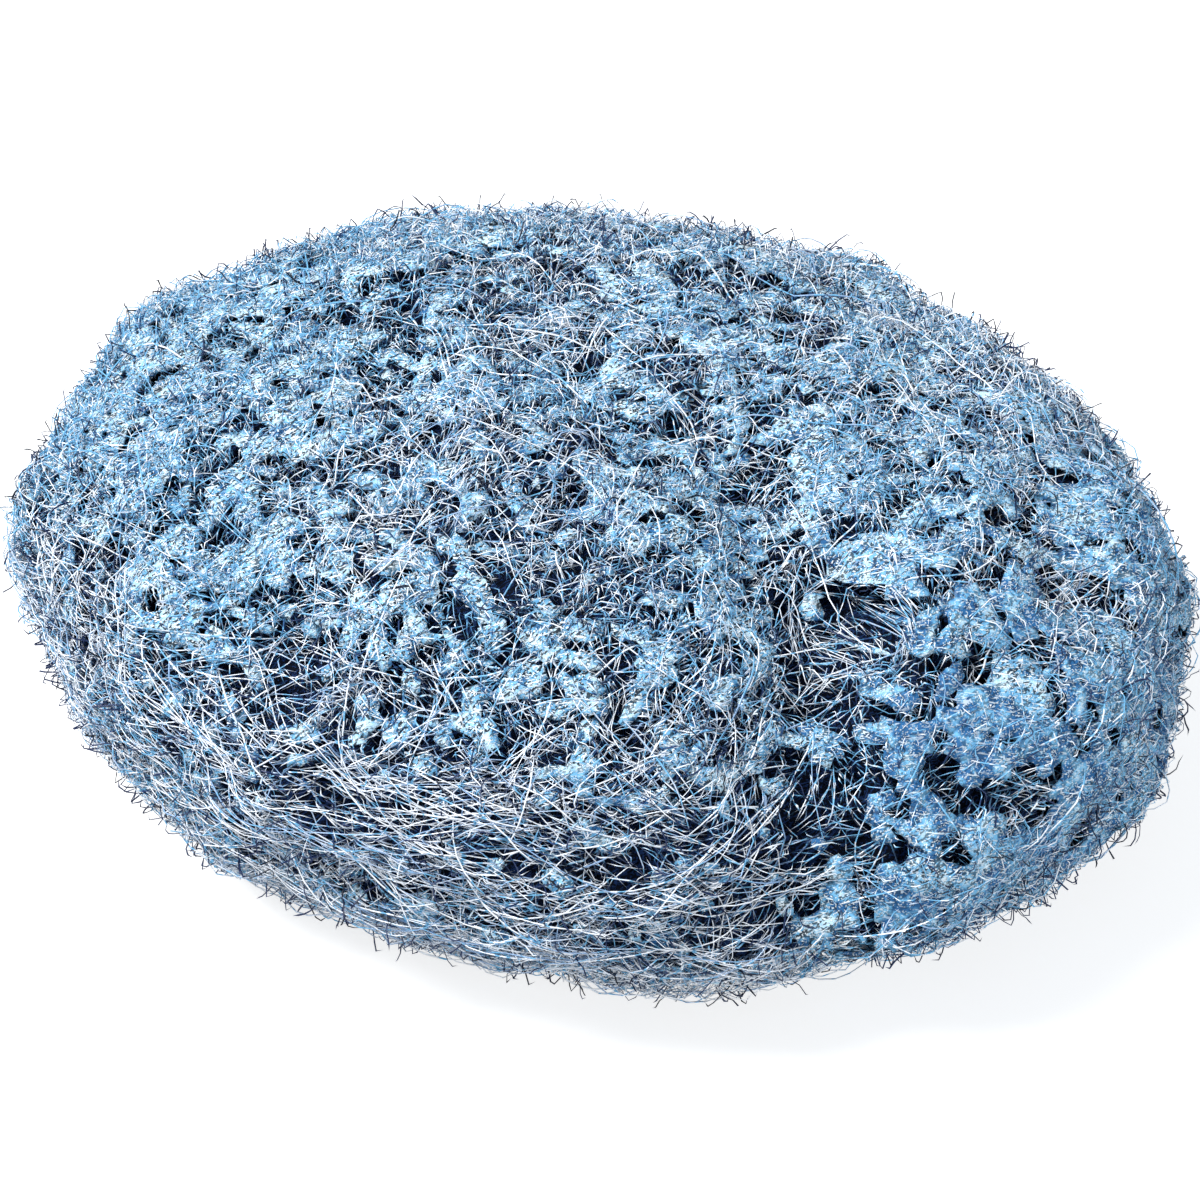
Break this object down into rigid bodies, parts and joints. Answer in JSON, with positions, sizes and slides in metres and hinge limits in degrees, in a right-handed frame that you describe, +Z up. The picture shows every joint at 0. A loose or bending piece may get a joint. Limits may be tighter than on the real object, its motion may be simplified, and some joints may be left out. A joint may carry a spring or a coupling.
{
  "type": "steel wool pad",
  "caption": "Oval cushion-shaped scouring pad of felted steel wool filled with blue soap, folded from one ribbon with its end lapped over the front.",
  "frame": {"origin": "middle of the flat spot that the pad rests on", "axes": "+X along the pad's length, towards the end beside the lapped edge; +Y towards the plain back; +Z up through its thickness"},
  "size_m": [0.076, 0.061, 0.026],
  "materials": {
    "steel_wool": "fine bright steel fibres, felted, dusted with light blue soap",
    "blue_soap": "dry light blue soap, matt and powdery, in webs between the fibres"
  },
  "bodies": {
    "root": {"wool_pad": "steel_wool"}
  },
  "joints": []
}
